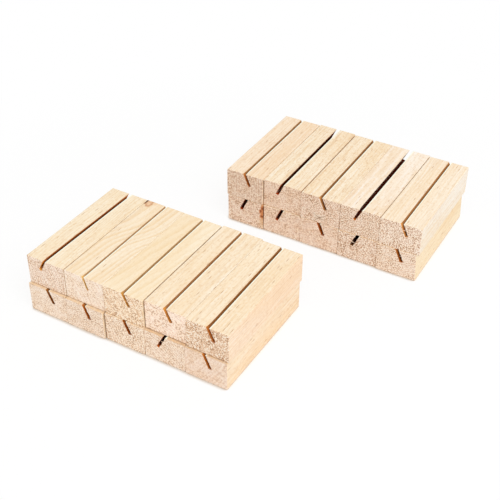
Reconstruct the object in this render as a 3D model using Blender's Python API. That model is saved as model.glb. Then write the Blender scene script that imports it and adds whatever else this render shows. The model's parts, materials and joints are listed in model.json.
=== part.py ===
"""Twenty slotted pine holders for cards, photos and memos, put away as two stacks of two layers.

Each holder is one sawn bar of pale pine. A saw kerf runs along its whole length, from the middle
of the top face down into the wood at a slant, so that a card stands in it leaning back a little.
A holder whose slot leans to the left is the same piece, turned end for end.

Metres, +Z up. The stacks stand on z = 0. The front ends of the holders face -Y, and the origin is
the centre of the space that both stacks cover on the table.
"""

import math

import bmesh
import bpy
from mathutils import Matrix, Vector

# One holder
HOLDER_LENGTH = 0.1000
HOLDER_WIDTH = 0.0328
HOLDER_HEIGHT = 0.0233
ARRIS_ROUND = 0.0005
ARRIS_SEGMENTS = 2

# The saw kerf that takes the card
SLOT_WIDTH = 0.0022
SLOT_DEPTH = 0.0104
SLOT_LEAN = math.radians(24.0)
MOUTH_EASE = 0.0002

# How the holders stand together
LAYER_GAP = 0.0003
STACKS_APART = 0.0690
RIGHT_STACK_SHIFT = 0.0611
RIGHT_STACK_TURN = math.radians(0.8)

# Each layer from left to right, seen from the front. leans says which way each slot goes as it
# goes down. start is where the first holder's left side stands, gaps are the spaces between
# neighbours, and pushed is how far each holder sits behind its stack's front line.
LAYERS = {
    "left_bottom": {
        "leans": "right right right left right",
        "start": -0.0002,
        "gaps": (0.0003, 0.0007, 0.0003, 0.0003),
        "pushed": (-0.0018, -0.0020, -0.0008, -0.0006, -0.0010),
        "wood": "pale",
    },
    "left_top": {
        "leans": "left right right right right",
        "start": 0.0001,
        "gaps": (0.0004, 0.0004, 0.0006, 0.0007),
        "pushed": (0.0003, 0.0005, 0.0003, 0.0016, 0.0003),
        "wood": "pale",
    },
    "right_bottom": {
        "leans": "left left right left right",
        "start": 0.0006,
        "gaps": (0.0003, 0.0003, 0.0003, 0.0003),
        "pushed": (-0.0003, 0.0002, -0.0002, -0.0005, -0.0014),
        "wood": "warm",
    },
    "right_top": {
        "leans": "right left right left right",
        "start": 0.0003,
        "gaps": (0.0003, 0.0004, 0.0005, 0.0005),
        "pushed": (0.0000, 0.0012, 0.0002, 0.0002, -0.0008),
        "wood": "warm",
    },
}

# Two holders in the left stack's top layer are cut from more strongly marked boards.
FLAMED_HOLDERS = ("holder_left_top_2", "holder_left_top_3")

# Colour and roughness of each kind of board
WOODS = {
    "pale": ((0.86, 0.72, 0.53), 0.62),
    "flamed": ((0.84, 0.66, 0.43), 0.60),
    "warm": ((0.84, 0.69, 0.51), 0.62),
}


def clear_scene():
    """Removes whatever the file holds, so that the model starts empty."""
    for old in list(bpy.data.objects):
        bpy.data.objects.remove(old, do_unlink=True)


def make_wood(name, colour, roughness):
    """A Principled material for one kind of board."""
    wood = bpy.data.materials.new(name)
    wood.use_nodes = True
    shader = wood.node_tree.nodes["Principled BSDF"]
    shader.inputs["Base Color"].default_value = (*colour, 1.0)
    shader.inputs["Roughness"].default_value = roughness
    shader.inputs["Metallic"].default_value = 0.0
    wood.diffuse_color = (*colour, 1.0)
    return wood


def extrude_profile(bm, outline, length):
    """Extrudes a closed outline of (x, z) points along Y, centred on y = 0."""
    front = [bm.verts.new((x, -length / 2, z)) for x, z in outline]
    face = bm.faces.new(front)
    sweep = bmesh.ops.extrude_face_region(bm, geom=[face])
    far_end = [item for item in sweep["geom"] if isinstance(item, bmesh.types.BMVert)]
    bmesh.ops.translate(bm, vec=(0.0, length, 0.0), verts=far_end)
    bmesh.ops.recalc_face_normals(bm, faces=bm.faces)


def make_bar():
    """The plain bar before it is slotted, with its arrises rounded."""
    half = HOLDER_WIDTH / 2
    outline = [(-half, 0.0), (half, 0.0), (half, HOLDER_HEIGHT), (-half, HOLDER_HEIGHT)]
    bm = bmesh.new()
    extrude_profile(bm, outline, HOLDER_LENGTH)
    bmesh.ops.bevel(
        bm,
        geom=bm.edges[:],
        offset=ARRIS_ROUND,
        offset_type="OFFSET",
        segments=ARRIS_SEGMENTS,
        profile=0.5,
        affect="EDGES",
    )
    mesh = bpy.data.meshes.new("bar")
    bm.to_mesh(mesh)
    bm.free()
    return mesh


def kerf_outline():
    """The end outline of the space that the saw takes out, with its mouth eased at the top face.

    The kerf's middle line meets the top face at x = 0 and leans towards +X as it goes down. Its
    floor is square to its walls, as a saw leaves it.
    """
    down = Vector((math.sin(SLOT_LEAN), -math.cos(SLOT_LEAN)))
    across = Vector((math.cos(SLOT_LEAN), math.sin(SLOT_LEAN)))
    mouth = Vector((0.0, HOLDER_HEIGHT))
    floor = mouth + down * (SLOT_DEPTH / math.cos(SLOT_LEAN))
    half_mouth = SLOT_WIDTH / 2 / math.cos(SLOT_LEAN)
    slip = MOUTH_EASE * math.tan(SLOT_LEAN)
    above = HOLDER_HEIGHT + MOUTH_EASE
    below = HOLDER_HEIGHT - MOUTH_EASE
    flare = half_mouth + 2 * MOUTH_EASE
    return [
        tuple(floor - across * SLOT_WIDTH / 2),
        tuple(floor + across * SLOT_WIDTH / 2),
        (half_mouth + slip, below),
        (flare, above),
        (-flare, above),
        (-half_mouth + slip, below),
    ]


def make_kerf_cutter():
    """The saw's path, longer than the bar so that it leaves both ends open."""
    bm = bmesh.new()
    extrude_profile(bm, kerf_outline(), HOLDER_LENGTH * 1.2)
    mesh = bpy.data.meshes.new("kerf")
    bm.to_mesh(mesh)
    bm.free()
    cutter = bpy.data.objects.new("kerf_cutter", mesh)
    cutter.hide_render = True
    cutter.display_type = "WIRE"
    bpy.context.scene.collection.objects.link(cutter)
    return cutter


def saw_slot(bar_mesh):
    """Cuts the slanted kerf into the bar and returns the finished holder's mesh."""
    cutter = make_kerf_cutter()
    bar = bpy.data.objects.new("bar", bar_mesh)
    bpy.context.scene.collection.objects.link(bar)
    cut = bar.modifiers.new("kerf", "BOOLEAN")
    cut.operation = "DIFFERENCE"
    cut.solver = "EXACT"
    cut.object = cutter
    bpy.context.view_layer.update()
    evaluated = bar.evaluated_get(bpy.context.evaluated_depsgraph_get())
    holder_mesh = bpy.data.meshes.new_from_object(evaluated)
    holder_mesh.name = "slotted_holder"
    bpy.data.objects.remove(bar, do_unlink=True)
    bpy.data.objects.remove(cutter, do_unlink=True)
    return holder_mesh


def layer_places(layer):
    """Centres of a layer's holders on the table, in their stack's own frame."""
    places = []
    left_side = layer["start"]
    for pushed, gap in zip(layer["pushed"], (*layer["gaps"], 0.0)):
        places.append(Vector((left_side + HOLDER_WIDTH / 2, pushed + HOLDER_LENGTH / 2, 0.0)))
        left_side += HOLDER_WIDTH + gap
    return places


def stack_frames():
    """Where each stack's front left corner stands before the whole is centred."""
    behind = HOLDER_LENGTH + STACKS_APART
    right = Matrix.Translation((RIGHT_STACK_SHIFT, behind, 0.0))
    return {"left": Matrix.Identity(4), "right": right @ Matrix.Rotation(RIGHT_STACK_TURN, 4, "Z")}


def table_centre(frames):
    """The middle of the space that all the holders cover on the table."""
    corners = []
    for name, layer in LAYERS.items():
        frame = frames[name.split("_")[0]]
        for place in layer_places(layer):
            for side in (-0.5, 0.5):
                for end in (-0.5, 0.5):
                    offset = Vector((side * HOLDER_WIDTH, end * HOLDER_LENGTH, 0.0))
                    corners.append(frame @ (place + offset))
    xs = [corner.x for corner in corners]
    ys = [corner.y for corner in corners]
    return Vector(((min(xs) + max(xs)) / 2, (min(ys) + max(ys)) / 2, 0.0))


def add_stack(name, frame, centre):
    """An empty that carries one stack's holders."""
    stack = bpy.data.objects.new(name, None)
    stack.empty_display_size = HOLDER_WIDTH
    stack.matrix_world = Matrix.Translation(-centre) @ frame
    bpy.context.scene.collection.objects.link(stack)
    return stack


def add_holder(name, mesh, wood, stack, place, height, leans_left):
    """One holder, with its origin in the middle of its underside."""
    holder = bpy.data.objects.new(name, mesh)
    holder.parent = stack
    holder.location = (place.x, place.y, height)
    holder.rotation_euler = (0.0, 0.0, math.pi if leans_left else 0.0)
    holder.material_slots[0].link = "OBJECT"
    holder.material_slots[0].material = wood
    bpy.context.scene.collection.objects.link(holder)
    return holder


def build():
    """Makes the holder once and sets twenty of them out as the two stacks."""
    clear_scene()
    woods = {name: make_wood(f"pine_{name}", *look) for name, look in WOODS.items()}
    holder_mesh = saw_slot(make_bar())
    holder_mesh.materials.clear()
    holder_mesh.materials.append(woods["pale"])
    frames = stack_frames()
    centre = table_centre(frames)
    stacks = {side: add_stack(f"{side}_stack", frame, centre) for side, frame in frames.items()}
    for layer_name, layer in LAYERS.items():
        side, level = layer_name.split("_")
        height = HOLDER_HEIGHT + LAYER_GAP if level == "top" else 0.0
        rows = zip(layer_places(layer), layer["leans"].split())
        for number, (place, lean) in enumerate(rows, start=1):
            name = f"holder_{layer_name}_{number}"
            wood = woods["flamed" if name in FLAMED_HOLDERS else layer["wood"]]
            add_holder(name, holder_mesh, wood, stacks[side], place, height, lean == "left")


build()
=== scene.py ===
"""The looks of twenty slotted pine holders in two stacks: worn bars, grain, light and camera.

Each holder is rebuilt round its CAD solid, on the same sides, ends and kerf. Its arrises are worn
unevenly, and its kerf has the rough mouth, torn ends and splinters that a saw leaves. Its pine is
one solid texture, so that rings, fibres and knots run on from the long faces into the ends.

Lengths are in metres, and MM is a millimetre. Where a comment says so, a value is in millimetres.
In a holder's own frame x runs to the right, y to the back and z up, and the origin is the middle
of its underside.
"""

import json
import math
from dataclasses import dataclass

import bmesh
import bpy
from mathutils import Matrix, Quaternion, Vector, geometry, noise


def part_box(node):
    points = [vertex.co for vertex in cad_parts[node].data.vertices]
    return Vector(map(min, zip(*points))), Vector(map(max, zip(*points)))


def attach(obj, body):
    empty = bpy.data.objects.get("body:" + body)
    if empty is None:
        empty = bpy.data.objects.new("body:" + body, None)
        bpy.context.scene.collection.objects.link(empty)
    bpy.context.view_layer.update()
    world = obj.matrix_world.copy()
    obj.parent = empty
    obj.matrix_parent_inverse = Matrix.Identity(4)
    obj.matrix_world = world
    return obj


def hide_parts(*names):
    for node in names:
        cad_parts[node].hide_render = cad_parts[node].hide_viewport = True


MM = 0.001

# Camera
CAMERA_LENS = 70.0
CAMERA_AZIMUTH = math.radians(30.27)
CAMERA_ELEVATION = math.radians(36.83)
CAMERA_ROLL = math.radians(-0.384)
CAMERA_DISTANCE = 0.7652
CAMERA_TARGET = Vector((-0.0135, 0.0052, 0.0))

# Light
WHITE = (1.0, 1.0, 1.0)
WORLD_LIGHT = 0.71
KEY_DIRECTION = Vector((0.48, -0.35, 0.80))
KEY_DISTANCE = 2.2
KEY_SIZE = 1.6
KEY_POWER = 20.5

# The floor, whose glow goes over to the background's white with distance
FLOOR_SIZE = 12.0
FLOOR_DROP = 0.05 * MM
FLOOR_WHITE = (0.92, 0.92, 0.92)
FLOOR_GLOW = 0.82
FLOOR_FADES = (0.18, 0.36)

# The shade at the stacks' feet, by how open the floor is to the air, and the colour of the
# painted shadow in front of them
FOOT_REACH = 5 * MM
FOOT_SHADE = (0.56, 0.80)
FOOT_PAINTED_SHADOW = (0.74, 0.69, 0.62)
FOOT_TONE_SHADE = (0.82, 0.58)
AWAY_FROM_LIT_SIDES = {"X": 0.50, "Y": 0.30, "Z": 0.812}

# Worn edges, with how far each kind of corner starts to turn before it
EASES = {"foot": 0.40 * MM, "top": 0.50 * MM, "mouth": 0.14 * MM, "floor": 0.12 * MM}
EASE_STEPS = 3
END_EASE = 0.22 * MM
END_FLAT = 0.50 * MM
END_STEPS = 3
FUZZ = 0.05 * MM

# How uneven an arris is, as shares of its ease, and over what length
SLOW_WEAR, SLOW_LENGTH = 0.30, 16 * MM
QUICK_WEAR, QUICK_LENGTH = 0.16, 2.6 * MM
NICK_DEPTH, NICK_LENGTH = 3.2, 3.2 * MM
NICK_LEVEL = 0.42

# How far every side stands inside its solid's
SIDE_CLEAR = 0.01 * MM

# The seams between neighbours, from left to right, in millimetres: how far the two sides stand out
# from the solids' sides, how far they fall back at the top, in front and at the back, and how far
# the seam lies to the right
SEAMS = {
    "left_bottom": (
        (0.10, 0.0, 0.0, 0.0), (-0.15, 0.0, 0.0, 0.0),
        (0.14, -0.10, -0.10, 0.0), (0.14, -0.05, -0.05, 0.0),
    ),
    "left_top": (
        (0.05, 0.10, -0.12, -0.3), (0.10, -0.19, -0.19, 0.0),
        (-0.10, 0.12, 0.05, -0.3), (0.30, -0.30, -0.31, 0.0),
    ),
    "right_bottom": (
        (-0.20, 0.0, 0.0, 0.0), (0.14, 0.0, 0.0, 0.0),
        (0.06, 0.0, 0.0, 0.0), (0.14, -0.05, -0.05, 0.0),
    ),
    "right_top": (
        (-0.20, -0.14, 0.02, -0.3), (0.15, 0.26, 0.26, -0.3),
        (0.16, -0.23, -0.23, 0.0), (0.18, -0.06, -0.04, 0.0),
    ),
}

# How far down a seam opens, and between which shares of its height a side stands out
SEAM_MOUTH = 1.5 * MM
SEAM_FOOT, SEAM_TOP = 0.25, 0.97

# How far down the feet of each top holder stand from its solid's, in millimetres, left to right
SETTLED = {"left": (0.08, 0.08, 0.15, 0.05, 0.05), "right": (0.13, 0.13, 0.18, 0.20, 0.18)}

# Outer sides that stand inside the solid's: which one, and how far at its foot and its top
DRAWN_IN = {
    "holder_right_bottom_1": ("left", 0.75 * MM, 0.65 * MM),
    "holder_right_bottom_5": ("right", 0.4 * MM, 1.8 * MM),
}

# At a tight seam the arrises are worn less, down to this share of the usual ease
TIGHT_EASE = 0.3
TIGHT_REACH = 0.25 * MM

# Each holder's place in the noise
FIRST_SEED, SEED_STEP = 11.0, 1.37

# Where the mesh has its lines
SUPPORT = 0.5 * MM
WALL_LINES = 10
FIRST_STEP = 0.40 * MM
STEP_GROWTH = 1.18
LONGEST_STEP = 1.5 * MM
SHARP_ANGLE = math.radians(38)

# The points inside an end face: their spacing, how far they stray as a share of it, how far they
# keep from the outline, and how deep the sawn surface dips over what length
END_GRID = 2.3 * MM
END_STRAY = 0.35
END_CLEAR = 0.9 * MM
END_DIP = 0.07 * MM
END_DIP_LENGTH = 3 * MM

# The saw's marks on a kerf wall, and its torn ends: how far they reach along the bar, and how
# rough they are at the back in millimetres
SAW_MARKS, SAW_MARK_LENGTH = 0.035 * MM, 5 * MM
TORN_REACH, TORN_LENGTH = 1.6 * MM, 1.2 * MM
TORN_BACK = 0.12

# How far along the bar a flared kerf end reaches, as a share of the bar's length
FLARE_REACH = 0.03

# A splinter: how far behind the end its tip is, how much further back its root is, how deep the
# root is sunk as a share of the kerf, and its girth, also as shares at some shares of its length
SPLINTER_PLACE, SPLINTER_SLANT, SPLINTER_SUNK = 0.7 * MM, 0.5 * MM, 0.25
SPLINTER_GIRTH, SPLINTER_SIDES = 0.85 * MM, 6
SPLINTER_TAPER = ((0.0, 1.0), (0.3, 0.85), (0.65, 0.6), (0.9, 0.3))

# A section's corners, anticlockwise seen from the front, with their kinds and the edge that
# follows each. A side is its foot, its top and the way outwards, and a wall its mouth and floor.
FOOT_LEFT, FOOT_RIGHT, TOP_RIGHT, MOUTH_RIGHT, FLOOR_RIGHT, FLOOR_LEFT, MOUTH_LEFT, TOP_LEFT = range(8)
KINDS = ("foot", "foot", "top", "mouth", "floor", "floor", "mouth", "top")
EDGES = ("bottom", "right", "top_right", "wall_right", "floor", "wall_left", "top_left", "left")
KERF_EDGES = ("wall_right", "floor", "wall_left")
SIDES = {"left": (FOOT_LEFT, TOP_LEFT, -1), "right": (FOOT_RIGHT, TOP_RIGHT, 1)}
WALLS = {"left": (MOUTH_LEFT, FLOOR_LEFT), "right": (MOUTH_RIGHT, FLOOR_RIGHT)}


@dataclass(frozen=True)
class Kerf:
    """How one holder's kerf runs off from the drawn one, in millimetres.

    front and back are how far it lies to the right at each end, and floor is how much further its
    floor lies to the right. flare is how far the left and the right wall turn out at the front.
    tone multiplies the colour of its walls, and end_tone that of the painted light near its front.
    """

    front: float
    back: float = 0.0
    floor: float = 0.0
    wider: float = -0.3
    deeper: float = 0.0
    flare: tuple = (0.0, 0.0)
    tone: tuple = WHITE
    end_tone: tuple = WHITE


@dataclass(frozen=True)
class Knot:
    """A knot or a patch of bark, in millimetres in the holder's frame, with its two colours."""

    centre: tuple
    radii: tuple
    core: tuple
    rim: tuple
    strength: float


@dataclass(frozen=True)
class Star:
    """Drying cracks that run out from the tree's centre on a front end.

    The centre is in millimetres in the holder's frame, and each arm has a direction in degrees,
    anticlockwise from the right, and a length in millimetres.
    """

    centre: tuple
    arms: tuple
    width: float = 0.55
    depth: float = 0.9


@dataclass(frozen=True)
class Board:
    """How one holder's pine grew and how it was cut. Lengths are in millimetres.

    pith is where the tree's centre crosses the bar's middle, in x and z, and tilt is how far it
    runs to the right for each millimetre to the back. ring is the space between rings. marked and
    end_marked are how strongly they show along the bar and on its ends, and yellow how far from
    brown to yellow. The rings wander from their circles by up to half of wander, and bend to the
    right between two places in y by a third length. streaks and speckle are how strongly the
    fibres show along the bar and on its ends, and flecks is the share of places with resin. torn
    is how rough the front ends of the left and right kerf walls are. A splinter is its depth down
    the kerf, the side it grows from, how much of the kerf it crosses and how far it rises. ledge
    is how strong the painted shade on the top is along its front. The tones multiply the colour of
    the faces along the bar, of its sides once more, and of its ends.
    """

    pith: tuple
    ring: float
    kerf: Kerf
    tilt: float = 0.0
    marked: float = 0.45
    end_marked: float = 0.45
    yellow: float = 0.3
    long_tone: tuple = WHITE
    side_tone: tuple = WHITE
    end_tone: tuple = (1.05, 1.02, 1.10)
    speckle: float = 0.7
    flecks: float = 0.5
    streaks: float = 1.0
    wander: float = 5.0
    bend: tuple = (0.0, 1.0, 0.0)
    torn: tuple = (0.10, 0.12)
    splinters: tuple = ()
    ledge: float = 0.0
    knots: tuple = ()
    star: Star = None


WARM_END = (0.96, 0.88, 0.93)
BARK = (0.13, 0.06, 0.03)
KNOT_DARK = (0.30, 0.08, 0.02)
KNOT_RED = (0.66, 0.25, 0.09)
KNOT_PALE = (0.93, 0.66, 0.42)

# Where the tree's centre lies within a bar, whose front end has cracked from it
CRACKED_PITH = (-0.4, 4.6)

BOARDS = {
    "holder_left_top_1": Board(
        pith=(-66, -13), ring=1.9, marked=0.55, end_marked=0.9, long_tone=(1.0, 1.01, 1.005),
        end_tone=(1.095, 1.06, 1.18), speckle=0.95,
        kerf=Kerf(
            front=-1.0, back=0.4, floor=-0.7, wider=0.0, deeper=-1.2, flare=(-0.25, 0.1),
            tone=(1.6, 1.6, 1.3), end_tone=(1.42, 2.2, 1.5),
        ),
    ),
    "holder_left_top_2": Board(
        pith=(-45, -20), tilt=0.10, ring=3.0, marked=0.7, yellow=0.35, streaks=0.6, wander=2.0,
        bend=(-12.0, 26.0, 11.0), end_tone=(1.09, 1.075, 1.18), end_marked=0.3, speckle=0.55, flecks=0.3,
        kerf=Kerf(
            front=-0.2, floor=-1.0, wider=-0.8, flare=(0.5, -0.2), tone=(1.1, 1.4, 2.0),
            end_tone=(1.35, 2.7, 5.4),
        ),
        knots=(
            Knot((-10.5, 49.5, 22.8), (5.5, 3.5, 4.0), KNOT_PALE, KNOT_PALE, 0.55),
            Knot((-13.4, 47.4, 22.8), (2.9, 5.0, 3.0), KNOT_PALE, (0.62, 0.30, 0.14), 0.85),
            Knot((-13.0, 46.2, 22.8), (1.5, 2.6, 3.0), KNOT_PALE, (0.72, 0.40, 0.22), 0.7),
            Knot((-16.2, 48.2, 22.5), (0.9, 4.6, 3.0), BARK, (0.45, 0.24, 0.12), 1.0),
        ),
    ),
    "holder_left_top_3": Board(
        pith=(-50, -20), tilt=0.20, ring=4.4, marked=0.5, long_tone=(1.0, 1.01, 1.0),
        end_marked=0.7, yellow=0.4, streaks=0.35, wander=3.0, end_tone=(1.11, 1.025, 0.97), speckle=0.9,
        flecks=0.15, splinters=((6.7, "left", 1.1, 0.5),),
        kerf=Kerf(
            front=0.05, back=0.2, wider=-0.5, flare=(0.45, 0.2), tone=(1.0, 1.25, 1.6),
            end_tone=(1.1, 1.6, 1.6),
        ),
    ),
    "holder_left_top_4": Board(
        pith=(-20, -50), ring=1.8, flecks=0.8, speckle=0.68, end_tone=(1.16, 1.12, 1.235), torn=(0.1, 0.3),
        kerf=Kerf(front=-0.1, back=-0.5, flare=(0.5, 0.2), tone=(0.9, 0.9, 1.0), end_tone=(1.25, 1.7, 2.0)),
    ),
    "holder_left_top_5": Board(
        pith=(-45, -40), ring=1.5, flecks=0.9, speckle=1.2, side_tone=(1.02, 0.965, 0.975),
        end_tone=(0.98, 0.825, 0.75),
        kerf=Kerf(front=0.75, back=-0.25, deeper=0.4, flare=(0.6, -0.05), tone=(0.7, 0.6, 0.5)),
    ),
    "holder_left_bottom_1": Board(
        pith=(-10, -60), ring=2.2, ledge=0.35,
        kerf=Kerf(front=0.3, wider=0.2, deeper=0.5, flare=(0.0, 0.2), end_tone=(0.5, 0.5, 0.4)),
    ),
    "holder_left_bottom_2": Board(
        pith=(30, -50), ring=1.8, speckle=0.9, ledge=0.4, torn=(0.1, 0.3),
        kerf=Kerf(
            front=-0.4, floor=-0.5, wider=0.3, deeper=0.7, flare=(-0.15, 0.3), end_tone=(0.85, 0.75, 0.5),
        ),
    ),
    "holder_left_bottom_3": Board(
        pith=(-70, -12), ring=2.2, end_marked=0.9, speckle=1.0, end_tone=(1.10, 1.065, 1.115), ledge=0.15,
        kerf=Kerf(front=0.1, wider=0.3, flare=(0.12, 0.15), end_tone=(0.66, 0.52, 0.36)),
    ),
    "holder_left_bottom_4": Board(
        pith=(-28, -26), ring=2.2, end_marked=0.7, ledge=0.65, torn=(0.2, 0.3),
        splinters=((5.6, "right", 0.6, 0.2),),
        kerf=Kerf(
            front=0.0, floor=-0.8, wider=0.1, deeper=0.7, flare=(-0.1, -0.2), tone=(0.6, 0.5, 0.5),
            end_tone=(1.1, 0.9, 0.6),
        ),
    ),
    "holder_left_bottom_5": Board(
        pith=(-50, 50), ring=2.4, yellow=0.7, speckle=0.4, side_tone=(1.0, 0.95, 0.92),
        end_tone=(0.985, 0.915, 0.975), ledge=0.5,
        kerf=Kerf(front=-1.4, wider=0.1, deeper=0.7, flare=(0.3, -0.1), end_tone=(1.0, 1.0, 0.8)),
    ),
    "holder_right_top_1": Board(
        pith=(-60, 10), ring=2.3, end_marked=0.7, long_tone=(1.0, 0.97, 0.98), end_tone=(0.90, 0.83, 0.87),
        kerf=Kerf(
            front=-0.6, back=-0.8, flare=(0.25, 0.3), tone=(0.85, 0.9, 1.0), end_tone=(0.92, 0.95, 1.1),
        ),
    ),
    "holder_right_top_2": Board(
        pith=(20, -60), ring=1.9, end_tone=(0.99, 0.91, 0.955), flecks=0.8, streaks=1.5,
        kerf=Kerf(
            front=-0.4, back=-0.2, wider=0.2, flare=(0.05, 0.0), tone=(0.9, 0.7, 0.7),
            end_tone=(0.9, 0.45, 0.3),
        ),
    ),
    "holder_right_top_3": Board(
        pith=CRACKED_PITH, ring=2.4, end_tone=(1.0, 0.92, 0.975), speckle=1.1, flecks=0.7, streaks=1.6,
        kerf=Kerf(
            front=0.05, back=0.05, flare=(0.5, 0.2), tone=(0.78, 0.78, 0.85), end_tone=(1.0, 1.4, 2.3),
        ),
        star=Star(CRACKED_PITH, ((149, 7.5), (215, 5.6), (28, 6.8), (-15, 5.6), (96, 2.6), (300, 2.6))),
    ),
    "holder_right_top_4": Board(
        pith=(10, -45), ring=1.6, long_tone=(1.02, 1.06, 1.18), end_tone=(0.98, 0.91, 0.96), speckle=1.2,
        flecks=0.8, torn=(0.5, 0.2),
        kerf=Kerf(
            front=0.12, back=0.18, floor=-0.4, wider=0.65, flare=(-0.45, -0.25), tone=(0.85, 0.6, 0.55),
            end_tone=(1.35, 1.3, 1.1),
        ),
    ),
    "holder_right_top_5": Board(
        pith=(-60, -40), ring=1.8, long_tone=(1.015, 1.035, 1.09), side_tone=(1.0, 1.05, 1.14),
        end_tone=(1.02, 0.975, 1.065), speckle=1.2, splinters=((6.0, "left", 1.1, 0.6),),
        kerf=Kerf(front=0.6, back=0.7, flare=(0.4, 0.1), end_tone=(1.4, 2.1, 3.2)),
    ),
    "holder_right_bottom_1": Board(
        pith=(0, 70), ring=2.0, end_tone=WARM_END, speckle=0.9,
        kerf=Kerf(
            front=0.95, floor=-0.3, wider=0.4, flare=(-0.15, 0.1), tone=(0.7, 0.6, 0.6),
            end_tone=(0.7, 0.32, 0.2),
        ),
        knots=(
            Knot((15.2, -50.0, 6.0), (2.6, 6.0, 6.0), (0.80, 0.50, 0.24), (0.85, 0.58, 0.34), 0.35),
            Knot((16.0, -50.0, 15.5), (1.9, 6.0, 8.0), KNOT_RED, (0.75, 0.40, 0.18), 0.9),
            Knot((15.6, -50.0, 19.8), (1.3, 5.0, 2.2), KNOT_DARK, KNOT_RED, 0.95),
            Knot((14.3, -50.0, 16.9), (1.3, 5.0, 1.8), KNOT_DARK, KNOT_RED, 0.95),
            Knot((15.6, -50.0, 12.2), (1.7, 5.0, 1.7), KNOT_DARK, KNOT_RED, 0.95),
        ),
    ),
    "holder_right_bottom_2": Board(
        pith=(50, -30), ring=2.2, end_tone=WARM_END,
        kerf=Kerf(front=-0.2, wider=0.3, tone=(0.7, 0.5, 0.5), end_tone=(0.95, 0.55, 0.6)),
    ),
    "holder_right_bottom_3": Board(
        pith=(-20, 60), ring=2.4, end_tone=WARM_END, speckle=0.6,
        kerf=Kerf(front=-0.75, wider=0.3, flare=(0.3, 0.0), end_tone=(0.88, 0.68, 0.44)),
    ),
    "holder_right_bottom_4": Board(
        pith=(40, 40), ring=1.6, end_tone=WARM_END, speckle=1.1, splinters=((7.4, "left", 1.1, -0.4),),
        kerf=Kerf(
            front=-0.4, wider=0.3, flare=(0.1, 0.15), tone=(0.6, 0.5, 0.5), end_tone=(0.4, 0.5, 0.9),
        ),
    ),
    "holder_right_bottom_5": Board(
        pith=(15, -40), ring=1.9, end_marked=0.8, side_tone=(1.0, 0.99, 0.94),
        end_tone=(1.02, 0.985, 1.07), speckle=1.0, torn=(0.15, 0.5), splinters=((5.8, "right", 0.6, 0.3),),
        kerf=Kerf(front=-0.7, wider=0.1, flare=(0.25, 0.15), end_tone=(1.0, 0.95, 0.65)),
    ),
}


def roughly(*place):
    """A smooth random value between about -1 and 1, the same each run, at a place in noise."""
    return noise.noise(Vector(place))


def whereabouts(node):
    """A holder's stack, its layer there, and its number in that layer, counted from 0."""
    _, side, layer, number = node.split("_")
    return side, layer, int(number) - 1


def placing(frame, node):
    """Where a holder's own frame stands, turned to the axis that its stack's holders draw along."""
    side, _, _ = whereabouts(node)
    axis = next(j["axis"] for j in frame["joints"] if j["name"].startswith(f"draw_{side}"))
    turn = Matrix.Rotation(math.atan(-axis[0] / axis[1]), 4, "Z")
    low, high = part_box(node)
    middle = (low + high) / 2
    return Matrix.Translation((middle.x, middle.y, low.z)) @ turn


def cad_section(frame, node, place):
    """The corners of a CAD holder's section in its own frame, and its length.

    The kerf's floor corners are the only points well inside the section. Its walls run up from
    them, along the line from the floor's middle to the middle of the top face.
    """
    to_own = place.inverted()
    points = [to_own @ v.co for v in frame["nodes"][node].data.vertices]
    side = max(p.x for p in points) - SIDE_CLEAR
    top = max(p.z for p in points)
    end = max(p.y for p in points)
    inner = [p for p in points if abs(p.x) < 0.5 * side and 0.2 * top < p.z < 0.8 * top]
    left = min(inner, key=lambda p: p.x)
    right = max(inner, key=lambda p: p.x)
    middle = (left + right) / 2
    slope = middle.x / (top - middle.z)
    mouth_left, mouth_right = (p.x - slope * (top - p.z) for p in (left, right))
    feet = [(-side, 0.0), (side, 0.0)]
    kerf = [(mouth_right, top), (right.x, right.z), (left.x, left.z), (mouth_left, top)]
    section = [*feet, (side, top), *kerf, (-side, top)]
    return [Vector(corner) for corner in section], 2 * end


def outward(start, end):
    """The outward normal of a section's edge, whose corners run anticlockwise."""
    run = (end - start).normalized()
    return Vector((run.y, -run.x))


def seam_sides(node):
    """The seams at a holder's left and right side, or None where it has no neighbour."""
    side, layer, number = whereabouts(node)
    seams = (None, *SEAMS[f"{side}_{layer}"], None)
    return seams[number], seams[number + 1]


def settled(node, corners):
    """The section with its foot near the layer beneath and its outer side where the wood's is."""
    side, layer, number = whereabouts(node)
    moved = list(corners)
    if layer == "top":
        for foot in (FOOT_LEFT, FOOT_RIGHT):
            moved[foot] = corners[foot] - Vector((0.0, SETTLED[side][number])) * MM
    if node in DRAWN_IN:
        outer, at_foot, at_top = DRAWN_IN[node]
        foot, top, outwards = SIDES[outer]
        moved[foot] = moved[foot] - Vector((outwards * at_foot, 0.0))
        moved[top] = moved[top] - Vector((outwards * at_top, 0.0))
    return moved


def seams_moved(corners, seams, share):
    """The section with its sides where its seams lie, share of the way from front to back."""
    moved = list(corners)
    for (foot, top, outwards), seam in zip(SIDES.values(), seams):
        if seam is not None:
            _, front, back, right = seam
            fall = front + (back - front) * share
            moved[foot] = corners[foot] + Vector((right, 0.0)) * MM
            moved[top] = corners[top] + Vector((right - outwards * fall, 0.0)) * MM
    return moved


def sawn(corners, kerf, share):
    """The section with its kerf where the saw ran, share of the way from the front to the back."""
    run = Vector((kerf.front + (kerf.back - kerf.front) * share, 0.0)) * MM
    flared = math.exp(-((share / FLARE_REACH) ** 2))
    down = corners[FLOOR_RIGHT] - corners[MOUTH_RIGHT]
    sink = down / abs(down.y) * kerf.deeper * MM + Vector((kerf.floor * MM, 0.0))
    cut = list(corners)
    for (mouth, floor), outwards, flare in zip(WALLS.values(), (-1, 1), kerf.flare):
        away = Vector((outwards * (kerf.wider / 2 + flare * flared), 0.0)) * MM
        cut[mouth] = corners[mouth] + run + away
        cut[floor] = corners[floor] + run + away + sink
    return cut


def drawn_in(corners, inset):
    """The section's corners, with every edge moved into the wood by inset."""
    moved = []
    for i, corner in enumerate(corners):
        before = outward(corners[i - 1], corner)
        after = outward(corner, corners[(i + 1) % len(corners)])
        moved.append(corner - (before + after) * inset / (1 + before.dot(after)))
    return moved


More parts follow.
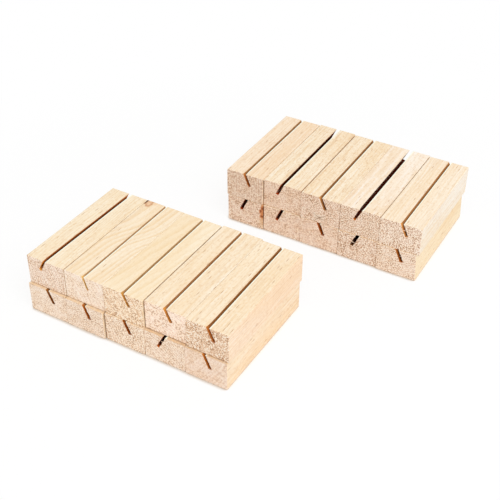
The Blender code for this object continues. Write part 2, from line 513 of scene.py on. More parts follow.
def corner_ease(corner, seed, y, closed):
    """How far from its corner an arris starts to turn, which wear makes uneven along the bar.

    closed holds how far each top corner stands out over its side, where a seam is tight.
    """
    size = EASES[KINDS[corner]]
    if KINDS[corner] == "floor":
        return size
    if corner in closed:
        size *= max(TIGHT_EASE, 1 - closed[corner] / TIGHT_REACH)
    lane = 7.3 * corner
    slow = SLOW_WEAR * roughly(seed, lane, y / SLOW_LENGTH)
    quick = QUICK_WEAR * roughly(seed + 40, lane, y / QUICK_LENGTH)
    nick = NICK_DEPTH * max(0.0, roughly(seed + 80, lane, y / NICK_LENGTH) - NICK_LEVEL)
    return size * (1 + slow + quick + nick)


def side_shift(seam, height, fallen):
    """How far a side stands out at a share of its height, over its line from foot to top."""
    if seam is None:
        return 0.0
    return seam[0] * MM * min(1.0, height / SEAM_FOOT) + fallen * height


def wall_shift(edge, share, seed, y, half_length, torn):
    """How far a kerf wall stands out from its plane: saw marks, and torn wood at its ends."""
    lane = 3.1 * EDGES.index(edge)
    marks = SAW_MARKS * roughly(seed + lane, share * 7, y / SAW_MARK_LENGTH)
    tear = math.exp(-(((half_length - abs(y)) / TORN_REACH) ** 2))
    rough = torn[0 if edge == "wall_left" else 1] if y < 0 else TORN_BACK
    ragged = roughly(seed + lane + 20, share * 9, y / TORN_LENGTH) - 0.15
    fade = min(1.0, 6 * share, 6 * (1 - share))
    return fade * (marks + tear * rough * MM * 1.6 * ragged)


def edge_shares(edge, length):
    """Where along an edge its mesh lines run, as shares of its length."""
    if edge in KERF_EDGES:
        lines = 1 if edge == "floor" else WALL_LINES
        return [(i + 1) / (lines + 1) for i in range(lines)]
    near, mouth = SUPPORT / length, SEAM_MOUTH / length
    at_mouth = {"right": [1 - mouth], "left": [mouth]}.get(edge, [])
    return sorted([near, 0.5, *at_mouth, 1 - near])


def section_points(corners, seams, seed, y, inset, half_length, torn):
    """One section of the bar as (point, edge name) rows, anticlockwise seen from the front."""
    fallen = {
        side: outwards * (corners[foot].x - corners[top].x)
        for side, (foot, top, outwards) in SIDES.items()
    }
    closed = {SIDES[side][1]: max(0.0, -fall) for side, fall in fallen.items()}
    drawn = drawn_in(corners, inset)
    eases = [corner_ease(i, seed, y, closed) for i in range(len(KINDS))]
    rows = []
    for i, edge in enumerate(EDGES):
        following = (i + 1) % len(EDGES)
        before, corner, after = drawn[i - 1], drawn[i], drawn[following]
        start = corner + (before - corner).normalized() * eases[i]
        end = corner + (after - corner).normalized() * eases[i]
        for step in range(EASE_STEPS + 1):
            t = step / EASE_STEPS
            point = start * (1 - t) ** 2 + corner * 2 * t * (1 - t) + end * t**2
            rows.append((point, "ease"))
        far = after + (corner - after).normalized() * eases[following]
        normal = outward(end, far)
        for share in edge_shares(edge, (far - end).length):
            point = end.lerp(far, share)
            height = share if edge == "right" else 1 - share
            if edge.startswith("wall"):
                point = point + normal * wall_shift(edge, share, seed, y, half_length, torn)
            elif edge in fallen and height < SEAM_TOP:
                seam = seams[1 if edge == "right" else 0]
                point = point + normal * side_shift(seam, height, fallen[edge])
            rows.append((point, edge))
    return rows


def ring_places(half_length):
    """The bar's sections from front to back, each as its place in y and its inset."""
    end = [(0.0, END_EASE + END_FLAT)]
    for step in range(END_STEPS, -1, -1):
        angle = math.radians(90) * step / END_STEPS
        end.append((END_EASE * (1 - math.sin(angle)), END_EASE * (1 - math.cos(angle))))
    gap = FIRST_STEP
    place = END_EASE + gap
    while place < half_length:
        end.append((place, 0.0))
        gap = min(gap * STEP_GROWTH, LONGEST_STEP)
        place += gap
    front = [(-half_length + place, inset) for place, inset in end]
    back = [(half_length - place, inset) for place, inset in reversed(end)]
    return front + back


def add_splinter(bm, root, tip):
    """A splinter that tapers from its root, sunk in one wall, to its tip."""
    run = tip - root
    across = run.orthogonal().normalized()
    other = run.normalized().cross(across)
    rings = []
    for share, girth in SPLINTER_TAPER:
        bend = across * 0.15 * SPLINTER_GIRTH * math.sin(9 * share)
        ring = []
        for k in range(SPLINTER_SIDES):
            turn = 2 * math.pi * k / SPLINTER_SIDES
            flat = across * math.cos(turn) + other * 0.6 * math.sin(turn)
            out = flat * SPLINTER_GIRTH / 2 * girth
            ring.append(bm.verts.new(root.lerp(tip, share) + bend + out))
        rings.append(ring)
    point = bm.verts.new(tip)
    bm.faces.new(list(reversed(rings[0])))
    around = [(k, (k + 1) % SPLINTER_SIDES) for k in range(SPLINTER_SIDES)]
    for ring, following in zip(rings, rings[1:]):
        for k, m in around:
            bm.faces.new((ring[k], ring[m], following[m], following[k]))
    for k, m in around:
        bm.faces.new((rings[-1][k], rings[-1][m], point))


def add_splinters(bm, corners, half_length, splinters):
    """The splinters that the photograph shows across a kerf's front end."""
    y = -half_length + SPLINTER_PLACE
    for depth, side, crossed, rise in splinters:
        spots = {}
        for name, (mouth, floor) in WALLS.items():
            share = depth * MM / (corners[TOP_RIGHT].y - corners[floor].y)
            spots[name] = corners[mouth].lerp(corners[floor], share)
        start = spots.pop(side)
        across = spots.popitem()[1] - start
        root = start - across * SPLINTER_SUNK
        tip = start + across * crossed
        root_point = Vector((root.x, y + SPLINTER_SLANT, root.y))
        add_splinter(bm, root_point, Vector((tip.x, y, tip.y + rise * MM)))


def room_at(outline, point):
    """How far a point inside an outline is from its nearest side, or 0 for one outside."""
    crossings, nearest = 0, 1.0
    for start, end in zip(outline, outline[1:] + outline[:1]):
        if (start.y > point.y) != (end.y > point.y):
            reach = (point.y - start.y) / (end.y - start.y)
            crossings += point.x < start.x + reach * (end.x - start.x)
        _, share = geometry.intersect_point_line(point, start, end)
        foot = start.lerp(end, min(1.0, max(0.0, share)))
        nearest = min(nearest, (point - foot).length)
    return nearest if crossings % 2 else 0.0


def end_grid(outline, seed):
    """Points spread a little unevenly over an end face, clear of its outline."""
    low_x, low_y = min(p.x for p in outline), min(p.y for p in outline)
    columns = int((max(p.x for p in outline) - low_x) / END_GRID)
    rows = int((max(p.y for p in outline) - low_y) / END_GRID)
    points = []
    for i in range(columns + 1):
        for j in range(rows + 1):
            stray = Vector((roughly(seed, i * 1.7, j * 2.3), roughly(seed + 5, i * 2.1, j * 1.9)))
            spot = Vector((low_x + i * END_GRID, low_y + j * END_GRID)) + stray * END_STRAY * END_GRID
            if room_at(outline, spot) > END_CLEAR:
                points.append(spot)
    return points


def star_points(star):
    """The points of a star of cracks as (place, depth) rows, and the lines that join them."""
    centre = Vector(star.centre) * MM
    half = star.width * MM / 2
    points = [(centre, star.depth * MM)]
    arms, lines, rim = sorted(star.arms), [], []
    for number, (direction, length) in enumerate(arms):
        angle = math.radians(direction)
        run = Vector((math.cos(angle), math.sin(angle)))
        side = Vector((-run.y, run.x))
        bend = side * 0.05 * length * MM
        middle = centre + run * 0.5 * length * MM + bend
        tip = centre + run * length * MM
        following = math.radians(arms[(number + 1) % len(arms)][0])
        between = (angle + following + (2 * math.pi if following < angle else 0.0)) / 2
        notch = centre + Vector((math.cos(between), math.sin(between))) * half * 1.6
        base = len(points)
        lines += [(0, base + 3), (base + 3, base + 1)]
        rim += [base, base + 1, base + 2, base + 4]
        beside = side * half * 0.8
        points += [(middle - beside, 0.0), (tip, 0.0), (middle + beside, 0.0)]
        points += [(middle, 0.5 * star.depth * MM), (notch, 0.0)]
    return points, lines + list(zip(rim, rim[1:] + rim[:1]))


def close_end(bm, ring, seed, star=None):
    """Closes one end of the bar with a sawn face that dips a little between its points."""
    outline = [Vector((vert.co.x, vert.co.z)) for vert in ring]
    front = ring[0].co.y < 0
    inward = 1.0 if front else -1.0
    end = (min if front else max)(vert.co.y for vert in ring)
    places, lines = [], []
    if star is not None:
        places, lines = star_points(star)
        reach = max(length for _, length in star.arms) * MM
        middle = places[0][0]
    for spot in end_grid(outline, seed):
        if star is None or (spot - middle).length > 0.5 * reach:
            height = roughly(seed, spot.x / END_DIP_LENGTH, spot.y / END_DIP_LENGTH)
            places.append((spot, END_DIP * (0.5 + 0.5 * height)))
    verts = list(ring)
    for spot, dip in places:
        verts.append(bm.verts.new((spot.x, end + inward * dip, spot.y)))
    first = len(outline)
    edges = [(first + a, first + b) for a, b in lines]
    flat = outline + [spot for spot, _ in places]
    found = geometry.delaunay_2d_cdt(flat, edges, [list(range(first))], 1, 1e-7)
    origin = [came_from[0] for came_from in found[3]]
    for corners in found[2]:
        trio = [verts[origin[k]] for k in corners]
        bm.faces.new(trio if front else reversed(trio))


def holder_mesh(name, corners, length, seams, seed, board):
    """One holder's mesh: its sections joined from end to end, closed by flat end faces."""
    half = length / 2
    bm = bmesh.new()
    sections = []
    for y, inset in ring_places(half):
        share = y / length + 0.5
        cut = seams_moved(sawn(corners, board.kerf, share), seams, share)
        rows = section_points(cut, seams, seed, y, inset, half, board.torn)
        ring = []
        for number, (point, edge) in enumerate(rows):
            fuzz = FUZZ * (0.5 + 0.5 * roughly(seed, number * 0.9, 5.0)) if inset else 0.0
            lift = fuzz if y < 0 else -fuzz
            ring.append((bm.verts.new((point.x, y + lift, point.y)), edge))
        sections.append((ring, inset))
    for (ring, inset), (following, next_inset) in zip(sections, sections[1:]):
        for i in range(len(ring)):
            j = (i + 1) % len(ring)
            face = bm.faces.new((ring[i][0], following[i][0], following[j][0], ring[j][0]))
            in_kerf = ring[i][1] in KERF_EDGES or ring[j][1] in KERF_EDGES
            face.material_index = 1 if in_kerf and not (inset or next_inset) else 0
    close_end(bm, [vert for vert, _ in sections[0][0]], seed, board.star)
    close_end(bm, [vert for vert, _ in sections[-1][0]], seed + 60)
    add_splinters(bm, sawn(corners, board.kerf, 0.0), half, board.splinters)
    mesh = bpy.data.meshes.new(name)
    bm.to_mesh(mesh)
    bm.free()
    mesh.shade_smooth()
    mesh.set_sharp_from_angle(angle=SHARP_ANGLE)
    return mesh


class Graph:
    """A node tree of a material or a world, with one short call for each kind of node used here."""

    def __init__(self, owner):
        owner.use_nodes = True
        self.owner = owner
        self.tree = owner.node_tree
        self.tree.nodes.clear()

    def put(self, kind, inputs=None, **settings):
        """Adds a node, sets its options and feeds its named or numbered inputs."""
        made = self.tree.nodes.new(kind)
        for key, value in settings.items():
            setattr(made, key, value)
        for key, value in (inputs or {}).items():
            socket = made.inputs[key]
            if isinstance(value, bpy.types.NodeSocket):
                self.tree.links.new(value, socket)
            else:
                socket.default_value = (*value, 1.0) if socket.type == "RGBA" else value
        return made

    def math(self, operation, *values, clamp=False):
        inputs = dict(enumerate(values))
        return self.put("ShaderNodeMath", inputs, operation=operation, use_clamp=clamp).outputs[0]

    def times(self, a, b):
        return self.math("MULTIPLY", a, b)

    def vector(self, operation, *values, output="Vector"):
        inputs = dict(enumerate(values))
        return self.put("ShaderNodeVectorMath", inputs, operation=operation).outputs[output]

    def length(self, a):
        return self.vector("LENGTH", a, output="Value")

    def parts(self, a):
        return self.put("ShaderNodeSeparateXYZ", {0: a}).outputs

    def noise(self, at, detail=2.0, roughness=0.5):
        """Noise of one cell per unit of the vector that it is given."""
        inputs = {"Vector": at, "Scale": 1.0, "Detail": detail, "Roughness": roughness}
        return self.put("ShaderNodeTexNoise", inputs).outputs

    def step(self, value, low, high, to_low=0.0, to_high=1.0):
        """Rises smoothly from to_low to to_high as the value goes from low to high."""
        inputs = {0: value, 1: low, 2: high, 3: to_low, 4: to_high}
        made = self.put("ShaderNodeMapRange", inputs, interpolation_type="SMOOTHSTEP")
        return made.outputs[0]

    def mix(self, share, a, b, blend="MIX"):
        """Colour a, going over to b."""
        inputs = {0: share, 6: a, 7: b}
        made = self.put("ShaderNodeMix", inputs, data_type="RGBA", blend_type=blend)
        return made.outputs[2]

    def open_air(self, reach, samples, **inputs):
        """How open a spot is to the air around it, within a reach: 1 where nothing is near."""
        inputs["Distance"] = reach
        return self.put("ShaderNodeAmbientOcclusion", inputs, samples=samples).outputs["AO"]

    def finish(self, shader):
        self.put("ShaderNodeOutputMaterial", {"Surface": shader.outputs[0]})
        return self.owner


def start_wood(name):
    """A new material's graph, its coordinates, and each spot in its holder in millimetres."""
    g = Graph(bpy.data.materials.new(name))
    coordinates = g.put("ShaderNodeTexCoord").outputs
    return g, coordinates, g.vector("MULTIPLY", coordinates["Object"], (1 / MM, 1 / MM, 1 / MM))


def finish_wood(g, colour, roughness, specular, relief, depth):
    """The material of a graph: bare wood with a fine relief of the given depth."""
    bump = g.put("ShaderNodeBump", {"Strength": 0.6, "Distance": depth, "Height": relief})
    inputs = {
        "Base Color": colour,
        "Roughness": roughness,
        "Specular IOR Level": specular,
        "Normal": bump.outputs[0],
    }
    return g.finish(g.put("ShaderNodeBsdfPrincipled", inputs))


# Pine colours
EARLY_WOOD = (0.970, 0.785, 0.550)
PALE_WOOD = (0.990, 0.845, 0.640)
LATE_WOOD = (0.850, 0.575, 0.310)
YELLOW_WOOD = (0.955, 0.735, 0.400)
STREAK = (0.78, 0.515, 0.29)
FLECK = (0.52, 0.28, 0.13)
DARK_GRAIN = (0.46, 0.26, 0.15)
PALE_GRAIN = (1.0, 0.91, 0.77)

# How fine each mark is: cells of noise to the millimetre across the bar, along it and up
RING_WANDER = (0.07, 0.012, 0.07)
BANDS = (0.05, 0.010, 0.05)
FIBRES = (0.50, 0.018, 0.50)
FINE_FIBRES = (1.1, 0.07, 1.1)
MOTTLE = (0.8, 0.36, 0.8)
RESIN_CANALS = (0.42, 0.055, 0.42)
GRIT = (1.12, 0.35, 1.12)
BLOTCHES = (0.16, 0.1, 0.16)
KNOT_WOBBLE = (0.5, 0.35, 0.5)

# Where each of these tones fades out and is full, in millimetres. The kerf's lips, painted shade
# on the left one and a painted highlight on the right one, from its edges and down from the top:
LEFT_LIP_PAINTED_SHADE, LEFT_LIP_REACH = (0.80, 0.46, 0.22), (0.75, 0.3)
RIGHT_LIP_PAINTED_HIGHLIGHT, RIGHT_LIP_REACH = (1.0, 0.99, 0.82), (1.2, 0.5)
LIP_DEPTH = (0.6, 0.3)

# painted shade along drying cracks and the pale wood beside them, from their middle:
CRACK_PAINTED_SHADE, CRACK_REACH, CRACK_SIDE_REACH = (0.52, 0.34, 0.21), (0.75, 0.25), (1.7, 0.7)

# painted shade on a strip of a lower holder's top in front of the holder on it, from the front and down:
LEDGE_PAINTED_SHADE, LEDGE_REACH, LEDGE_DEPTH = (0.62, 0.36, 0.17), (3.0, 2.0), (0.55, 0.2)

# Painted shade in the seams, from none to full by how open it is to the air, and as a share of
# that the painted shade in the joint between a stack's layers, from left to right, and how far it reaches
SEAM_PAINTED_SHADE = (0.42, 0.19, 0.07)
SEAM_REACH = 2.0 * MM
SEAM_SHADE = (0.48, 0.15)
JOINT_REACH = (0.6, 1.6)
LAYER_PAINTED_SHADE = {"left": (0.7, 0.7, 0.5, 0.9, 0.8), "right": (0.6, 0.6, 0.3, 0.2, 0.2)}


def stretched(g, spot, per_mm, seed):
    """The place in noise of a spot in the holder, with so many cells to the millimetre."""
    start = (seed * 3.17, seed * 5.73, seed * 1.91)
    return g.vector("MULTIPLY_ADD", spot, per_mm, start)


def knot_nearness(g, spot, knot):
    """1 in the middle of a knot, falling to 0 at its rim and below outside."""
    away = g.vector("SUBTRACT", spot, knot.centre)
    scaled = g.vector("MULTIPLY", away, tuple(1 / r for r in knot.radii))
    wobble = g.noise(g.vector("MULTIPLY", spot, KNOT_WOBBLE), 3.0)["Fac"]
    uneven = g.times(g.math("SUBTRACT", wobble, 0.5), 1.4)
    return g.math("SUBTRACT", 1.0, g.math("ADD", g.length(scaled), uneven))


def ring_marks(g, spot, board, seed, swelling):
    """How much latewood there is at a spot, in rings that swelling, if any, pushes outwards."""
    y = g.parts(spot)["Y"]
    pith_x, pith_z = board.pith
    centre_x = g.math("MULTIPLY_ADD", y, board.tilt, pith_x)
    centre = g.put("ShaderNodeCombineXYZ", {"X": centre_x, "Z": pith_z}).outputs[0]
    wander = g.noise(stretched(g, spot, RING_WANDER, seed))["Color"]
    drift = g.vector("SUBTRACT", wander, (0.5, 0.5, 0.5))
    moved = g.vector("MULTIPLY_ADD", drift, (board.wander, 0.0, board.wander), spot)
    near, far, shift = board.bend
    bent = g.put("ShaderNodeCombineXYZ", {"X": g.step(y, near, far, 0.0, -shift)}).outputs[0]
    moved = g.vector("ADD", moved, bent)
    radius = g.length(g.vector("MULTIPLY", g.vector("SUBTRACT", moved, centre), (1.0, 0.0, 1.0)))
    if swelling is not None:
        radius = g.math("ADD", radius, g.times(g.step(swelling, -2.0, 0.8), 3.0))
    rings = g.math("DIVIDE", radius, board.ring)
    phase = g.math("FRACT", rings)
    late = g.times(g.step(phase, 0.20, 0.85), g.step(phase, 0.90, 1.0, 1.0, 0.0))
    which = g.math("ADD", g.math("FLOOR", rings), seed)
    luck = g.put("ShaderNodeTexWhiteNoise", {"W": which}, noise_dimensions="1D").outputs["Value"]
    return g.times(late, g.step(luck, -0.2, 1.0, 0.25, 1.0))


def resin_flecks(g, spot, board, seed):
    """Short dashes of resin canals along the grain, on part of the board's cells."""
    place = stretched(g, spot, RESIN_CANALS, seed + 4)
    cells = g.put("ShaderNodeTexVoronoi", {"Vector": place, "Scale": 1.0}).outputs
    chosen = g.step(g.parts(cells["Color"])["X"], 1 - board.flecks, 1.02 - board.flecks)
    return g.times(g.step(cells["Distance"], 0.17, 0.06), chosen)


def long_grain(g, spot, board, seed, late, fibre):
    """The colour of the faces along the bar: bands, streaks and flecks."""
    broad = g.noise(stretched(g, spot, BANDS, seed + 9), 1.0)["Fac"]
    fine = g.noise(stretched(g, spot, FINE_FIBRES, seed + 2))["Fac"]
    mottle = g.noise(stretched(g, spot, MOTTLE, seed + 3), 2.0, 0.6)["Fac"]
    band = tuple(a + (b - a) * board.yellow for a, b in zip(LATE_WOOD, YELLOW_WOOD))
    colour = g.mix(g.step(broad, 0.35, 0.65), EARLY_WOOD, PALE_WOOD)
    colour = g.mix(g.times(late, board.marked), colour, band)
    for marks, fades_out, full, strength, tone in (
        (fibre, 0.50, 0.72, 0.36 * board.streaks, STREAK),
        (fibre, 0.48, 0.28, 0.50 * board.streaks, PALE_GRAIN),
        (fine, 0.52, 0.72, 0.32 * board.streaks, STREAK),
        (mottle, 0.52, 0.75, 0.15 + 0.40 * board.streaks, STREAK),
        (mottle, 0.45, 0.25, 0.15 + 0.40 * board.streaks, PALE_GRAIN),
    ):
        colour = g.mix(g.step(marks, fades_out, full, 0.0, strength), colour, tone)
    return g.mix(g.times(resin_flecks(g, spot, board, seed), 0.75), colour, FLECK)


def end_grain(g, board, late, grit, blotch):
    """The colour of the sawn ends: rings, and a speckle of cut fibres."""
    colour = g.mix(g.step(blotch, 0.35, 0.65), EARLY_WOOD, PALE_WOOD)
    colour = g.mix(g.times(late, board.end_marked), colour, STREAK)
    colour = g.mix(1.0, colour, board.end_tone, blend="MULTIPLY")
    patchy = g.step(blotch, 0.65, 0.35, 0.6, 1.2)
    dark = g.times(g.step(grit, 0.50, 0.59, 0.0, 0.84 * board.speckle), patchy)
    pale = g.step(grit, 0.48, 0.36, 0.0, 0.85 * board.speckle)
    return g.mix(pale, g.mix(dark, colour, DARK_GRAIN), PALE_GRAIN)


def with_cracks(g, colour, spot, star):
    """The colour with a star of drying cracks: pale wood, and painted shade along its middle."""
    place = g.vector("SUBTRACT", spot, (star.centre[0], 0.0, star.centre[1]))
    dark = pale = 0.0
    for direction, length in star.arms:
        angle = math.radians(direction)
        run = (math.cos(angle), 0.0, math.sin(angle))
        side = (-math.sin(angle), 0.0, math.cos(angle))
        along = g.vector("DOT_PRODUCT", place, run, output="Value")
        aside = g.math("ABSOLUTE", g.vector("DOT_PRODUCT", place, side, output="Value"))
        reach = g.times(g.step(along, -0.2, 0.3), g.step(along, 1.1 * length, 0.5 * length))
        dark = g.math("MAXIMUM", dark, g.times(reach, g.step(aside, *CRACK_REACH)))
        pale = g.math("MAXIMUM", pale, g.times(reach, g.step(aside, *CRACK_SIDE_REACH)))
    colour = g.mix(g.times(pale, 0.5), colour, PALE_GRAIN)
    # Painted shade along each crack's middle
    return g.mix(g.times(dark, 0.5), colour, CRACK_PAINTED_SHADE)


def with_painted_ledge_shade(g, colour, place, top, half_length, grit, brown):
    """The colour with painted shade on a strip of a lower holder's top, in front of the holder on it."""
    # Painted shade on the ledge, where the holder above overhangs it
    strip = g.step(place["Y"], *(at - half_length for at in LEDGE_REACH), 0.0, brown)
    strip = g.times(strip, g.step(place["Z"], *(top - at for at in LEDGE_DEPTH)))
    strip = g.times(strip, g.step(grit, 0.35, 0.60, 1.0, 0.75))
    return g.mix(strip, colour, LEDGE_PAINTED_SHADE)


def with_painted_lip_light(g, colour, place, kerf, top, half_mouth, half_length):
    """The colour with painted shade on the kerf's left lip and a painted highlight on its right lip."""
    slope = (kerf.back - kerf.front) / (2 * half_length)
    middle = g.math("MULTIPLY_ADD", place["Y"], slope, (kerf.front + kerf.back) / 2)
    away = g.math("SUBTRACT", place["X"], middle)
    edge = half_mouth + kerf.wider / 2
    at_top = g.step(place["Z"], *(top - at for at in LIP_DEPTH))
    left = g.times(g.step(away, *(-edge - at for at in LEFT_LIP_REACH)), g.step(away, 0.1, 0.0))
    right = g.times(g.step(away, *(edge + at for at in RIGHT_LIP_REACH)), g.step(away, 0.0, 0.1))
    # Painted shade on the left lip, then a painted highlight on the right one
    colour = g.mix(g.times(g.times(left, at_top), 0.12), colour, LEFT_LIP_PAINTED_SHADE)
    return g.mix(g.times(right, at_top), colour, RIGHT_LIP_PAINTED_HIGHLIGHT)


def with_painted_seam_shade(g, colour, place, joint):
    """The colour with painted shade in the seams, and in the joint between two layers."""
    # Painted shade: the wood darkens where neighbours stand close, scaled by the joint's share near the
    # layers' joint
    shade = g.step(g.open_air(SEAM_REACH, samples=4), *SEAM_SHADE, 0.0, 0.8)
    height, strength = joint
    to_joint = g.math("ABSOLUTE", g.math("SUBTRACT", place["Z"], height))
    seam_painted_shade = g.times(shade, g.step(to_joint, *JOINT_REACH, strength, 1.0))
    return g.mix(seam_painted_shade, colour, SEAM_PAINTED_SHADE)


def make_pine(name, board, seed, corners, length, joint):
    """The bare pine of one holder of the given section and length.

    joint is how high its stack's two layers meet on it, in millimetres, and how strong the painted
    shade in the seams is there. The pine carries painted shade in its seams, on its ledge, in its
    cracks and at its kerf's left lip, and a painted highlight at its right lip.
    """
    top = corners[TOP_RIGHT].y / MM
    half_length = length / 2 / MM
    g, coordinates, spot = start_wood(name)
    place = g.parts(spot)
    facing = g.parts(g.vector("ABSOLUTE", coordinates["Normal"]))
    on_end = g.step(facing["Y"], 0.30, 0.55)
    on_side = g.step(facing["X"], 0.55, 0.85)

    knots = [(knot, knot_nearness(g, spot, knot)) for knot in board.knots]
    late = ring_marks(g, spot, board, seed, knots[-1][1] if knots else None)
    fibre = g.noise(stretched(g, spot, FIBRES, seed), 4.0, 0.62)["Fac"]
    grit = g.noise(stretched(g, spot, GRIT, seed + 6), 1.0, 0.55)["Fac"]
    blotch = g.noise(stretched(g, spot, BLOTCHES, seed + 7))["Fac"]

    along = long_grain(g, spot, board, seed, late, fibre)
    sided = g.mix(1.0, along, board.side_tone, blend="MULTIPLY")
    along = g.mix(1.0, g.mix(on_side, along, sided), board.long_tone, blend="MULTIPLY")
    colour = g.mix(on_end, along, end_grain(g, board, late, grit, blotch))
    if board.star is not None:
        colour = with_cracks(g, colour, spot, board.star)
    if board.ledge:
        colour = with_painted_ledge_shade(g, colour, place, top, half_length, grit, board.ledge)
    half_mouth = corners[MOUTH_RIGHT].x / MM
    colour = with_painted_lip_light(g, colour, place, board.kerf, top, half_mouth, half_length)
    for knot, nearness in knots:
        colour = g.mix(g.step(nearness, -0.25, 0.15, 0.0, knot.strength), colour, knot.rim)
        colour = g.mix(g.step(nearness, 0.25, 0.50, 0.0, knot.strength), colour, knot.core)
    colour = with_painted_seam_shade(g, colour, place, joint)

    reliefs = {2: g.math("ADD", fibre, g.times(late, 0.2)), 3: g.times(grit, 2.0)}
    relief = g.put("ShaderNodeMix", {0: on_end, **reliefs}).outputs[0]
    roughness = g.step(fibre, 0.2, 0.8, 0.56, 0.70)
    return finish_wood(g, colour, roughness, 0.3, relief, depth=0.14 * MM)


# Kerf colours: at the mouth, painted shade on the floor, and painted light near the front
KERF_MOUTH = (0.58, 0.27, 0.09)
KERF_DEEP_PAINTED_SHADE = (0.16, 0.025, 0.005)
KERF_END_PAINTED_LIGHT = (0.70, 0.23, 0.04)

# How far down the kerf's painted shade is as dark as on its floor, as a share of its depth, and
# where the painted light at its front fades out and is full, in millimetres from the front
KERF_DARKEST = 0.7
KERF_END_REACH = (4.5, 0.8)
SAW_LINES = (1.2, 0.15, 1.2)


def make_kerf_wood(name, kerf, corners, length):
    """The kerf's walls, with painted shade deepening towards the kerf's floor and painted light near its
    front.
    """
    top, floor = corners[TOP_RIGHT].y, corners[FLOOR_RIGHT].y
    g, _, spot = start_wood(name)
    place = g.parts(spot)
    down = g.math("SUBTRACT", top / MM, place["Z"])
    marks = g.noise(g.vector("MULTIPLY", spot, SAW_LINES), 4.0, 0.6)["Fac"]
    # Painted shade: darker down towards the kerf's floor, roughened by the saw marks
    deep = g.step(down, 0.0, KERF_DARKEST * ((top - floor) / MM))
    kerf_painted_depth_shade = g.math("ADD", deep, g.step(marks, 0.3, 0.7, -0.15, 0.15), clamp=True)
    colour = g.mix(kerf_painted_depth_shade, KERF_MOUTH, KERF_DEEP_PAINTED_SHADE)
    colour = g.mix(1.0, colour, kerf.tone, blend="MULTIPLY")
    # Painted light near the front end, where light gets into the kerf
    from_front = g.math("ADD", length / 2 / MM, place["Y"])
    near_end = g.step(from_front, *KERF_END_REACH)
    at_end = g.math("ADD", near_end, g.step(marks, 0.3, 0.7, 0.0, -0.3), clamp=True)
    colour = g.mix(at_end, colour, tuple(a * b for a, b in zip(KERF_END_PAINTED_LIGHT, kerf.end_tone)))
    roughness = g.step(marks, 0.2, 0.8, 0.75, 0.90)
    return finish_wood(g, colour, roughness, 0.05, marks, depth=0.15 * MM)


def add_object(name, data):
    """A new object in the scene."""
    made = bpy.data.objects.new(name, data)
    bpy.context.scene.collection.objects.link(made)
    return made


def build_holders(frame):
    """Every holder as its own piece, on its CAD node's place and body."""
    for number, (node, board) in enumerate(BOARDS.items()):
        seed = FIRST_SEED + SEED_STEP * number
        side, layer, in_row = whereabouts(node)
        place = placing(frame, node)
        corners, length = cad_section(frame, node, place)
        corners = settled(node, corners)
        mesh = holder_mesh(f"pine_{node}", corners, length, seam_sides(node), seed, board)
        # How high the layers meet, and how strong the painted shade is in that joint
        joint = (0.0 if layer == "top" else corners[TOP_RIGHT].y / MM, LAYER_PAINTED_SHADE[side][in_row])
        mesh.materials.append(make_pine(f"pine_wood_{node}", board, seed, corners, length, joint))
        mesh.materials.append(make_kerf_wood(f"kerf_wood_{node}", board.kerf, corners, length))
        piece = add_object(f"pine_{node}", mesh)
        piece.matrix_world = place
        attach(piece, node.removeprefix("holder_"))
        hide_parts(node)


def seen_rays(g):
    """1 for the rays that show the background: the camera's, mirrored ones and refracted ones."""
    path = g.put("ShaderNodeLightPath").outputs
    mirrored = g.math("MAXIMUM", path["Is Camera Ray"], path["Is Glossy Ray"])
    return g.math("MAXIMUM", mirrored, path["Is Transmission Ray"])


def make_floor():
    """A white floor that shows the camera the stacks' soft shadow, with a painted shadow in its colour
    deepest in front of them.
    """
    g = Graph(bpy.data.materials.new("floor_white"))
    seen = seen_rays(g)
    turned = g.put("ShaderNodeCombineXYZ", AWAY_FROM_LIT_SIDES).outputs[0]
    shaded = g.open_air(FOOT_REACH, samples=16, Normal=turned)
    # Painted shadow: the floor's own colour darkens in front of the stacks' feet, where a wall stands close
    painted_floor_shadow = g.mix(g.step(shaded, *FOOT_TONE_SHADE), WHITE, FOOT_PAINTED_SHADOW)
    plain = g.put("ShaderNodeBsdfDiffuse", {"Color": g.mix(seen, FLOOR_WHITE, painted_floor_shadow)})
    glow = g.put("ShaderNodeEmission", {"Color": WHITE, "Strength": 1.0})
    open_air = g.step(g.open_air(FOOT_REACH, samples=16), *FOOT_SHADE)
    from_middle = g.length(g.put("ShaderNodeTexCoord").outputs["Object"])
    glowing = g.times(open_air, g.step(from_middle, *FLOOR_FADES, FLOOR_GLOW, 1.0))
    parts = {0: g.times(seen, glowing), 1: plain.outputs[0], 2: glow.outputs[0]}
    half = FLOOR_SIZE / 2
    mesh = bpy.data.meshes.new("floor")
    corners = [(x * half, y * half, -FLOOR_DROP) for x, y in ((-1, -1), (1, -1), (1, 1), (-1, 1))]
    mesh.from_pydata(corners, [], [(0, 1, 2, 3)])
    mesh.materials.append(g.finish(g.put("ShaderNodeMixShader", parts)))
    add_object("floor", mesh)


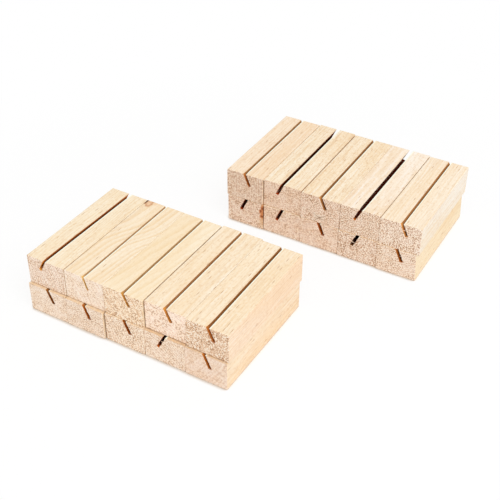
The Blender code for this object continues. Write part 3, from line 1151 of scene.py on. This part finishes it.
def make_world():
    """Even white light all round, and pure white where the background shows past the floor."""
    world = bpy.data.worlds.new("studio")
    bpy.context.scene.world = world
    g = Graph(world)
    light = g.put("ShaderNodeBackground", {"Color": WHITE, "Strength": WORLD_LIGHT})
    bright = g.put("ShaderNodeBackground", {"Color": WHITE, "Strength": 1.0})
    parts = {0: seen_rays(g), 1: light.outputs[0], 2: bright.outputs[0]}
    mixed = g.put("ShaderNodeMixShader", parts)
    g.put("ShaderNodeOutputWorld", {"Surface": mixed.outputs[0]})


def make_key_light():
    """A large soft lamp above the stacks, to their right and a little in front."""
    lamp = bpy.data.lights.new("key", "AREA")
    lamp.shape = "SQUARE"
    lamp.size = KEY_SIZE
    lamp.energy = KEY_POWER
    key = add_object("key", lamp)
    direction = KEY_DIRECTION.normalized()
    key.location = direction * KEY_DISTANCE
    key.rotation_mode = "QUATERNION"
    key.rotation_quaternion = direction.to_track_quat("Z", "Y")


def make_camera():
    """The camera at the photograph's place."""
    flat = math.cos(CAMERA_ELEVATION)
    across = -math.sin(CAMERA_AZIMUTH) * flat
    forward = Vector((across, math.cos(CAMERA_AZIMUTH) * flat, -math.sin(CAMERA_ELEVATION)))
    data = bpy.data.cameras.new("camera")
    data.lens = CAMERA_LENS
    camera = add_object("camera", data)
    camera.location = CAMERA_TARGET - forward * CAMERA_DISTANCE
    camera.rotation_mode = "QUATERNION"
    roll = Quaternion((0.0, 0.0, 1.0), -CAMERA_ROLL)
    camera.rotation_quaternion = forward.to_track_quat("-Z", "Y") @ roll
    bpy.context.scene.camera = camera


with open("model.json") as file:
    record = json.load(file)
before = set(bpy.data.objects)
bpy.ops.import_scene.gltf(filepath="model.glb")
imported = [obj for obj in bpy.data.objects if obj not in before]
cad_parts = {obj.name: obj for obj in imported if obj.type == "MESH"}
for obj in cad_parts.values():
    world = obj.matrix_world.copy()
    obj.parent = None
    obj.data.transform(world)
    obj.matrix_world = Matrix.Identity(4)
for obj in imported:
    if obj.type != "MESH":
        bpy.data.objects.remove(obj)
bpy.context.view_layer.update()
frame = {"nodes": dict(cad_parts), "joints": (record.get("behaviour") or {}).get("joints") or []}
build_holders(frame)
make_floor()
make_world()
make_key_light()
make_camera()
bpy.context.scene.view_settings.view_transform = "Standard"
